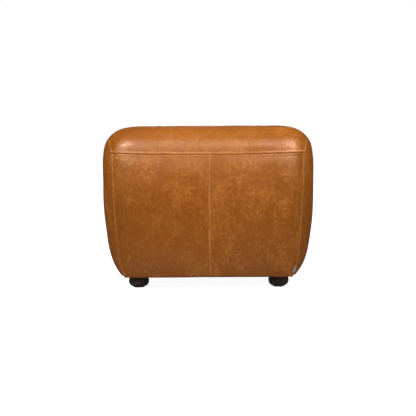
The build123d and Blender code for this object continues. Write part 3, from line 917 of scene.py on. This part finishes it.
def put_closed(name, points, faces, material, body="pouf"):
    """Make a piece from closed faces, turned round if the volume inside them comes out negative."""
    volume = 0.0
    for size in {len(f) for f in faces}:
        chosen = np.array([f for f in faces if len(f) == size])
        for k in range(1, size - 1):
            fan = np.cross(points[chosen[:, k]], points[chosen[:, k + 1]])
            volume += (points[chosen[:, 0]] * fan).sum()
    faces = faces if volume > 0 else [f[::-1] for f in faces]
    return put(name, points, faces, material, body)


def put_rings(name, rings, low_pole, high_pole, material, body="pouf"):
    """A closed piece from rings of points, rings[row, place], with a point closing each end."""
    rows, count = rings.shape[:2]
    place = np.arange(count)
    ahead = np.roll(place, -1)
    last = (rows - 1) * count
    low, high = np.full(count, rows * count), np.full(count, rows * count + 1)
    faces = grid_quads(rows, count, closed=True).tolist()
    faces += np.stack([place, low, ahead], axis=1).tolist()
    faces += np.stack([last + ahead, high, last + place], axis=1).tolist()
    points = np.concatenate([rings.reshape(-1, 3), [low_pole], [high_pole]])
    return put_closed(name, points, faces, material, body)


def outline(z, inset, count=176):
    """A ring of the form at height z, less an inset: even angles sent to the rounded rectangle.
    Past the flat sides the corner is |sin|^(2/n), |cos|^(2/n) of the quarter turn."""
    wide, deep, corner = section(z)
    corner = max(corner - inset, 0.003)
    flat_x, flat_y = wide - inset - corner, deep - inset - corner
    on_side = count // 8
    turn = np.linspace(0, math.pi / 2, count // 4 - on_side, endpoint=False)
    power = 2 / ROUNDNESS
    size = corner * left_over(max(z - roll_start, 0) / (ROLL_DROP - inset), 0.0)
    quarters = []
    for k, (sx, sy) in enumerate(((1, 1), (-1, 1), (-1, -1), (1, -1))):
        angle = math.pi / 2 - turn if k % 2 else turn
        x = sx * (flat_x + size * np.cos(angle) ** power)
        y = sy * (flat_y + size * np.sin(angle) ** power)
        quarters.append(np.column_stack([x, y]))
    t = (np.arange(1, on_side + 1) / (on_side + 1))[:, None]
    ring = []
    for here, after in zip(quarters, quarters[1:] + quarters[:1]):
        ring += [here, here[-1] * (1 - t) + after[0] * t]
    ring = np.concatenate(ring)
    return np.column_stack([ring, np.full(len(ring), z)])


def dome_rings(z, inset, steps, rise=0.0):
    """Rings that close a top or bottom: the outline shrinks to a tenth while the face rises."""
    edge = outline(z, inset)
    made = []
    for t in np.linspace(0, 1, steps + 1)[1:]:
        ring = edge * np.array([1 - 0.9 * t, 1 - 0.9 * t, 1])
        ring[:, 2] = z + rise * math.sin(t * math.pi / 2)
        made.append(ring)
    return made


PADDING_INSET = 0.0100  # of the foam's faces from the form
WADDING_INSET = 0.0034
FOAM_EDGE = 0.006  # radius of the firm foam's edges
SEAT_EDGE = 0.004  # and of the soft foam's lower edge


def firm_seat(low, high):
    """The firm foam: a slab that follows the form between two heights, with softened edges."""
    eased = []
    for t in (1.0, 0.6, 0.25, 0.0):
        inward = FOAM_EDGE * (1 - math.sqrt(1 - (t * 0.98) ** 2))
        eased.append((FOAM_EDGE * (1 - t), PADDING_INSET + inward))
    levels = np.linspace(low + FOAM_EDGE, high - FOAM_EDGE, 8)[1:-1]
    rows = dome_rings(low, PADDING_INSET + FOAM_EDGE, 6)[::-1]
    rows += [outline(low + up, inset) for up, inset in eased]
    rows += [outline(z, PADDING_INSET) for z in levels]
    rows += [outline(high - up, inset) for up, inset in eased[::-1]]
    rings = np.stack(rows + dome_rings(high, PADDING_INSET + FOAM_EDGE, 6))
    rings[..., :2] += 0.0006 * dents(rings * 2.2)[..., None] * np.sign(rings[..., :2])
    return put_rings("seat_foam_base", rings, (0, 0, low), (0, 0, high), firm_foam)


def soft_seat(low):
    """The soft foam: rings of the form up the roll, then a shallow dome."""
    rows = dome_rings(low, PADDING_INSET + SEAT_EDGE, 6)[::-1]
    for t in (0.9, 0.4, 0.0):
        inward = SEAT_EDGE * (1 - math.sqrt(1 - t * t))
        rows.append(outline(low + SEAT_EDGE * (1 - t), PADDING_INSET + inward))
    start, high = low + 0.0058, roll_start + (ROLL_DROP - PADDING_INSET)
    for t in np.linspace(0, 1, 14)[1:-1]:
        rows.append(outline(start + (high - start) * math.sin(t * math.pi / 2), PADDING_INSET))
    rings = np.stack(rows + dome_rings(high - 0.0002, PADDING_INSET, 8, 0.0012))
    rings[..., 2] += 0.0005 * dents(rings * 2.0) * (rings[..., 2] > start)
    return put_rings("seat_foam_top", rings, (0, 0, low), (0, 0, high + 0.001), soft_foam)


def wadding_shell(low):
    """The wadding: a skin just inside the leather and one over the foam, joined at their rim."""
    skins = []
    for inset in (WADDING_INSET, PADDING_INSET - 0.0012):
        high = roll_start + ROLL_DROP - inset
        rise = np.sin(np.linspace(0, math.pi / 2, 18)[1:-1])
        levels = [*np.linspace(low, roll_start, 34), *(roll_start + (high - roll_start) * rise)]
        rows = [outline(z, inset) for z in levels] + dome_rings(high - 0.0002, inset, 10, 0.0006)
        skins.append((np.stack(rows), (0, 0, high + 0.0004)))
    (outer, outer_pole), (inner, inner_pole) = skins
    outer[..., :2] *= 1 - np.abs(0.0007 * dents(outer * 3.1))[..., None] * 2.2
    rings = np.concatenate([inner[::-1], outer])
    return put_rings("polyester_wadding", rings, inner_pole, outer_pole, wadding)


firm_seat(foam_low.z + 0.0002, foam_high.z - 0.0004)
soft_seat(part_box("seat_foam_top")[0].z + 0.0002)
wadding_shell(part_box("polyester_wadding")[0].z + 0.0036)


def put_pad(name, outer, inner):
    """A closed pad between two grids of the same size, joined round their borders."""
    rows, columns = outer.shape[:2]
    beyond = rows * columns
    front = grid_quads(rows, columns)
    index = np.arange(beyond).reshape(rows, columns)
    border = np.concatenate([index[0, :-1], index[:-1, -1], index[-1, :0:-1], index[:0:-1, 0]])
    ahead = np.roll(border, -1)
    rim = np.stack([ahead, border, border + beyond, ahead + beyond], axis=1)
    points = np.concatenate([outer.reshape(-1, 3), inner.reshape(-1, 3)])
    faces = np.concatenate([front, front[:, ::-1] + beyond, rim]).tolist()
    return put_closed(name, points, faces, soft_foam)


def side_pad(name, axis, way):
    """A foam pad on a board: its outer face follows the form and its back lies on the board.
    It faces along x (axis 0) or y (axis 1), the positive or the negative way."""
    low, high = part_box(name)
    z0, z1 = low.z + 0.0020, high.z - 0.0006
    rows = np.linspace(0, 1, 60)
    z = (z0 + (z1 - z0) * rows)[:, None] * np.ones((1, 70))
    u = np.linspace(-1, 1, 70)[None] * np.ones((60, 1))
    board = (carcass_front if axis else side_board) + 0.0004
    if axis:
        run = u * np.maximum(side_reach(np.full_like(z, board + 0.002), z, PADDING_INSET), 0.1)
    else:
        run = u * (carcass_front - 0.0004)
    face = np.maximum(reach(run, z, PADDING_INSET, axis), board + 0.0015)
    outer, inner = (
        stacked(*((run, way * out) if axis else (way * out, run)), z)
        for out in (face, np.full_like(face, board))
    )
    soften = smooth(rows / 0.03) * smooth((1 - rows) / 0.03)
    sunk = 0.0012 * (1 - soften[:, None]) + 0.0005 * np.abs(dents(outer * 2))
    outer[..., axis] -= way * sunk
    outer[..., axis] = way * np.maximum(np.abs(outer[..., axis]), board + 0.0008)
    return put_pad(name, outer, inner)


for pad, axis, way in (("front", 1, -1), ("back", 1, 1), ("left", 0, -1), ("right", 0, 1)):
    side_pad(f"{pad}_pad", axis, way)


# ---------------------------------------------------------------- sheets under and inside

cover_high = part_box("dust_cover")[1]
bolt_low, bolt_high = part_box("hanger_bolt_front_right")
foot_x, foot_y = (bolt_low.x + bolt_high.x) / 2, abs(bolt_low.y + bolt_high.y) / 2
BOLT_OPENING = 0.0062  # radius
DUST_SHEET = 0.0005  # thickness


def well_inside(x, y, wide, deep, margin):
    """0 at the borders of a rectangle, 1 past a margin from them."""
    return smooth((wide - np.abs(x)) / margin) * smooth((deep - np.abs(y)) / margin)


def from_foot(x, y):
    """Distance from the nearest foot's bolt."""
    return np.hypot(np.abs(x) - foot_x, np.abs(y) - foot_y)


def dust_sheet():
    """The dust cover: stretched flat, slightly baggy between its staples, with an opening at each
    bolt."""
    wide, deep = cover_high.x - 0.0005, cover_high.y - 0.0005
    x, y = np.meshgrid(np.linspace(-1, 1, 149) * wide, np.linspace(-1, 1, 163) * deep)
    clear = smooth((from_foot(x, y) - 0.028) / 0.02)
    bagged = 0.0014 + 0.0009 * dents(stacked(x, y, 0 * x) * 1.7)
    sag = well_inside(x, y, wide, deep, 0.03) * clear * bagged
    z = cover_high.z - 0.00015 - DUST_SHEET - np.maximum(sag, 0)
    points = stacked(x, y, z).reshape(-1, 3)
    faces = grid_quads(*x.shape)
    centre = points[faces].mean(1)
    faces = faces[from_foot(centre[:, 0], centre[:, 1]) >= BOLT_OPENING]
    used = np.unique(faces)
    renumber = np.full(len(points), -1)
    renumber[used] = np.arange(len(used))
    return put("dust_cover", points[used], renumber[faces][:, ::-1], dust_cloth)


dust = dust_sheet()
wall(dust, DUST_SHEET)

deck_low, deck_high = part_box("hessian_deck")
deck_drop = deck_high.z - deck_low.z
DECK_SHEET = 0.0008
DECK_BEND = 0.0012
SPRING_PITCH = 0.084


def turned_down(half):
    """Places and falls along the cloth from one edge to the other: flat on top, a small bend at
    each side, then straight down."""
    flat = half - DECK_BEND
    wrap = DECK_BEND * math.pi / 2 + deck_drop - DECK_BEND
    side = np.linspace(flat, flat + wrap, 9)[1:]
    s = np.concatenate([-side[::-1], np.linspace(-flat, flat, 90), side])
    over = np.maximum(np.abs(s) - flat, 0)
    turn = np.minimum(over / DECK_BEND, math.pi / 2)
    place = np.sign(s) * (np.minimum(np.abs(s), flat) + DECK_BEND * np.sin(turn))
    fall = DECK_BEND * (1 - np.cos(turn)) + np.maximum(over - DECK_BEND * math.pi / 2, 0)
    return place, fall


def deck_sheet():
    """The hessian: stretched over the springs, level on top, turned down over the rails all round.
    Past the top's edge the cloth's own length runs down the side round a small bend."""
    wide, deep = deck_high.x, deck_high.y
    (px, fx), (py, fy) = turned_down(wide), turned_down(deep)
    x, y = np.meshgrid(px, py)
    level = well_inside(x, y, wide, deep, 0.05)
    sag = 0.0004 * level * (0.5 + 0.5 * np.cos(2 * math.pi * x / SPRING_PITCH))
    points = stacked(x, y, deck_high.z - np.maximum(*np.meshgrid(fx, fy)) - sag)
    return put("hessian_deck", points, grid_quads(*x.shape), hessian)


deck_piece = deck_sheet()
wall(deck_piece, DECK_SHEET)


# ---------------------------------------------------------------- the tag in the right front seam

tag_low, tag_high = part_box("seam_tag")


def tag_loop():
    """A blank folded tag: a ribbon that leaves the seam, lies on the leather and folds back. s runs
    along the ribbon and h up it; the fold is a half circle and both ends go into the seam."""
    reach_out = 0.8 * (tag_high.x - tag_low.x)
    gap = 0.0007
    s, h = np.meshgrid(np.linspace(0, 1, 41), np.linspace(0, 1, 17))
    z = tag_low.z + 0.001 + (tag_high.z - tag_low.z - 0.006) * h
    round_fold = (s - 0.45) / 0.1 * math.pi
    going, coming = s < 0.45, s > 0.55
    out = np.where(going, s / 0.45, np.where(coming, (1 - s) / 0.45, 1.0))
    lift = np.where(going, -gap, np.where(coming, gap, -gap * np.cos(round_fold)))
    bulge = np.where(going | coming, 0.0, gap * np.sin(round_fold))
    x = seam_x(z) + 0.0005 - reach_out * out * (1 - 0.12 * h) - bulge
    curl = 0.0022 * out**2 * (0.4 + 0.6 * h) + 0.0004 * np.sin(h * 5)
    y = -(front_depth(x, z) + 0.0030 + curl + lift * (0.55 + 0.45 * out))
    return put("seam_tag", stacked(x, y, z - 0.0022 * out), grid_quads(*s.shape), tag_cloth)


wall(tag_loop(), 0.0003, 0.0)


# ---------------------------------------------------------------- the feet

FOOT_SQUARENESS = 2.25
FOOT_BELLY = 0.0190
FOOT_UPPER = 0.0205  # height over which the part above the belly would close
RIM = 0.0012
PIN_HOLE = 0.0013
BOLT_HOLE = 0.00345


def turned_foot(corner):
    """A bun foot turned round its bolt's axis. Above and below the belly the radius is
    R (1 - t^p)^(1/p), where t is the share of the half height and p the squareness; two blind
    holes take the bolt and the glide."""
    name = f"bun_foot_{corner}"
    low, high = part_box(name)
    cx, cy, radius = (low.x + high.x) / 2, (low.y + high.y) / 2, (high.x - low.x) / 2
    pin_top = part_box(f"glide_{corner}")[1].z + 0.0001
    bolt_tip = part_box(f"hanger_bolt_{corner}")[0].z - 0.0001
    quarter = np.linspace(0, math.pi / 2, 26)
    under = FOOT_BELLY - (FOOT_BELLY - low.z) * np.cos(quarter)
    z = np.concatenate([under, FOOT_BELLY + (high.z - FOOT_BELLY) * np.sin(quarter[1:])])
    below, above = (FOOT_BELLY - z) / (FOOT_BELLY + 0.0002), (z - FOOT_BELLY) / FOOT_UPPER
    t = np.clip(np.where(z < FOOT_BELLY, below, above), 0, 0.999)
    r = radius * (1 - t**FOOT_SQUARENESS) ** (1 / FOOT_SQUARENESS)
    rim = np.clip((z - (high.z - RIM)) / RIM, 0, 1)
    r -= RIM * (1 - np.sqrt(np.clip(1 - rim**2, 0, 1)))
    r -= 0.0005 * np.exp(-(((z - high.z + 0.0042) / 0.0006) ** 2))
    bottom = (0.0004, pin_top), (PIN_HOLE, pin_top), (PIN_HOLE, low.z), (r[0] * 0.5, low.z)
    upper = (r[-1] * 0.6, high.z), (BOLT_HOLE, high.z), (BOLT_HOLE, bolt_tip), (0.0004, bolt_tip)
    profile = np.array([
        *bottom, (r[0] - 0.0008, low.z), *zip(r, z), (r[-1] - 0.0006, high.z), *upper
    ])
    turn = full_turn(128)
    out, up = profile[:, :1], np.repeat(profile[:, 1:], len(turn), axis=1)
    rings = stacked(cx + out * np.cos(turn), cy + out * np.sin(turn), up)
    put_rings(name, rings, (cx, cy, pin_top), (cx, cy, bolt_tip), foot_wood, f"foot_{corner}")


for corner in ("front_left", "front_right", "back_left", "back_right"):
    turned_foot(corner)

# ---------------------------------------------------------------- finishes of the frame's parts

finishes = {
    m.name.split(".")[0]: m for m in (wood, hardboard, spring_steel, zinc_steel, plastic)
}
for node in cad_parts.values():
    if not node.hide_render:
        for place, material in enumerate(node.data.materials):
            found = finishes.get(material.name.split(".")[0])
            if found:
                node.data.materials[place] = found

# ---------------------------------------------------------------- floor, light and camera

FLOOR_SIZE = 14.0


def make_floor():
    """A round pale floor that turns to plain white away from the pouf."""
    n = Nodes("pale_floor")
    out = n.add("VectorMath", {0: n.object}, operation="LENGTH").outputs["Value"]
    far = n.band(out, 0.5, 2.2)
    seen = n.add("LightPath").outputs["Is Camera Ray"]
    n.finish(Base_Color=n.blend(seen, (0.84,) * 3, (0.88,) * 3), Roughness=0.9)
    glow = n.math("MULTIPLY", n.math("ADD", n.math("MULTIPLY", far, 0.3), 0.95), seen)
    n.finish(Specular_IOR_Level=0.1, Emission_Color=(1, 1, 1, 1), Emission_Strength=glow)
    turn = full_turn(96)
    radii = np.array([0.4, 1.0, 2.0, 4.0, 8.0, FLOOR_SIZE])[:, None]
    rings = stacked(radii * np.cos(turn), radii * np.sin(turn), np.zeros((6, 96)))
    faces = grid_quads(6, 96, closed=True).tolist() + [list(range(96))]
    mesh = bpy.data.meshes.new("floor")
    mesh.from_pydata(rings.reshape(-1, 3).tolist(), [], faces)
    mesh.materials.append(n.material)
    floor = linked("floor", mesh)
    floor.visible_glossy = False


make_floor()


def aimed(thing, place, aim, roll=0.0):
    """Put a light or a camera at a place, facing a point, rolled about its view by some degrees."""
    thing.location = place
    thing.rotation_mode = "QUATERNION"
    facing = (Vector(aim) - Vector(place)).to_track_quat("-Z", "Y")
    thing.rotation_quaternion = facing @ Quaternion((0, 0, 1), math.radians(roll))
    return thing


def softbox(name, place, aim, size, watts, spread=180.0):
    """A rectangular area light at a place, turned to face a point."""
    data = bpy.data.lights.new(name, "AREA")
    data.shape = "RECTANGLE"
    data.size, data.size_y = size
    data.energy = watts
    data.spread = math.radians(spread)
    return aimed(linked(name, data), place, aim)


centre_of_pouf = (0, 0, height / 2)
for name, x in (("left_softbox", -0.78), ("right_softbox", 0.78)):
    softbox(name, (x, -1.34, 1.22), (0, 0, 0.49), (0.34, 0.34), 2.0, 52.0)
for name, place, aim, size, watts in (
    ("overhead_softbox", (0, -0.75, 1.40), (0, -0.25, 0.40), (1.1, 0.5), 1.6),
    ("left_fill", (-1.4, -0.75, 1.45), centre_of_pouf, (0.6, 0.6), 13.5),
    ("right_fill", (1.4, -0.75, 1.45), centre_of_pouf, (0.6, 0.6), 11.5),
    ("back_fill", (0, 2.0, 1.3), centre_of_pouf, (1.4, 0.8), 12.0),
    ("floor_bounce", (0, -0.43, 0.006), (0, -0.40, 0.4), (0.75, 0.20), 0.35),
):
    lamp = softbox(name, place, aim, size, watts)
    lamp.visible_glossy = False
    lamp.visible_camera = False

world = bpy.data.worlds.new("studio")
bpy.context.scene.world = world
world.use_nodes = True
background = world.node_tree.nodes["Background"]
path_node = world.node_tree.nodes.new("ShaderNodeLightPath")
sky = world.node_tree.nodes.new("ShaderNodeMix")
sky.data_type = "FLOAT"
sky.inputs[2].default_value = 0.06  # what lights the pouf
sky.inputs[3].default_value = 1.0  # what is seen behind it
world.node_tree.links.new(path_node.outputs["Is Camera Ray"], sky.inputs[0])
world.node_tree.links.new(sky.outputs[0], background.inputs["Strength"])
background.inputs["Color"].default_value = (1, 1, 1, 1)

VIEW_WIDTH = 1.169  # what the picture takes in, at the front corners
VIEW_DISTANCE = 4.8  # from there to the camera
FRONT_PLANE = -0.2  # the y of the front corners
EYE = 0.47  # height of the camera
VIEW_CENTRE = 0.2205  # height of the middle of the view at the front corners
VIEW_SHIFT = -0.0008
CAMERA_ROLL = -0.35  # degrees
SENSOR = 36
camera_data = bpy.data.cameras.new("camera")
camera_data.sensor_width = SENSOR
camera_data.lens = SENSOR * VIEW_DISTANCE / VIEW_WIDTH
eye = (VIEW_SHIFT, FRONT_PLANE - VIEW_DISTANCE, EYE)
look_at = (VIEW_SHIFT, FRONT_PLANE, VIEW_CENTRE)
camera = aimed(linked("camera", camera_data), eye, look_at, CAMERA_ROLL)
bpy.context.scene.camera = camera
bpy.context.scene.view_settings.view_transform = "Standard"

bpy.context.view_layer.update()
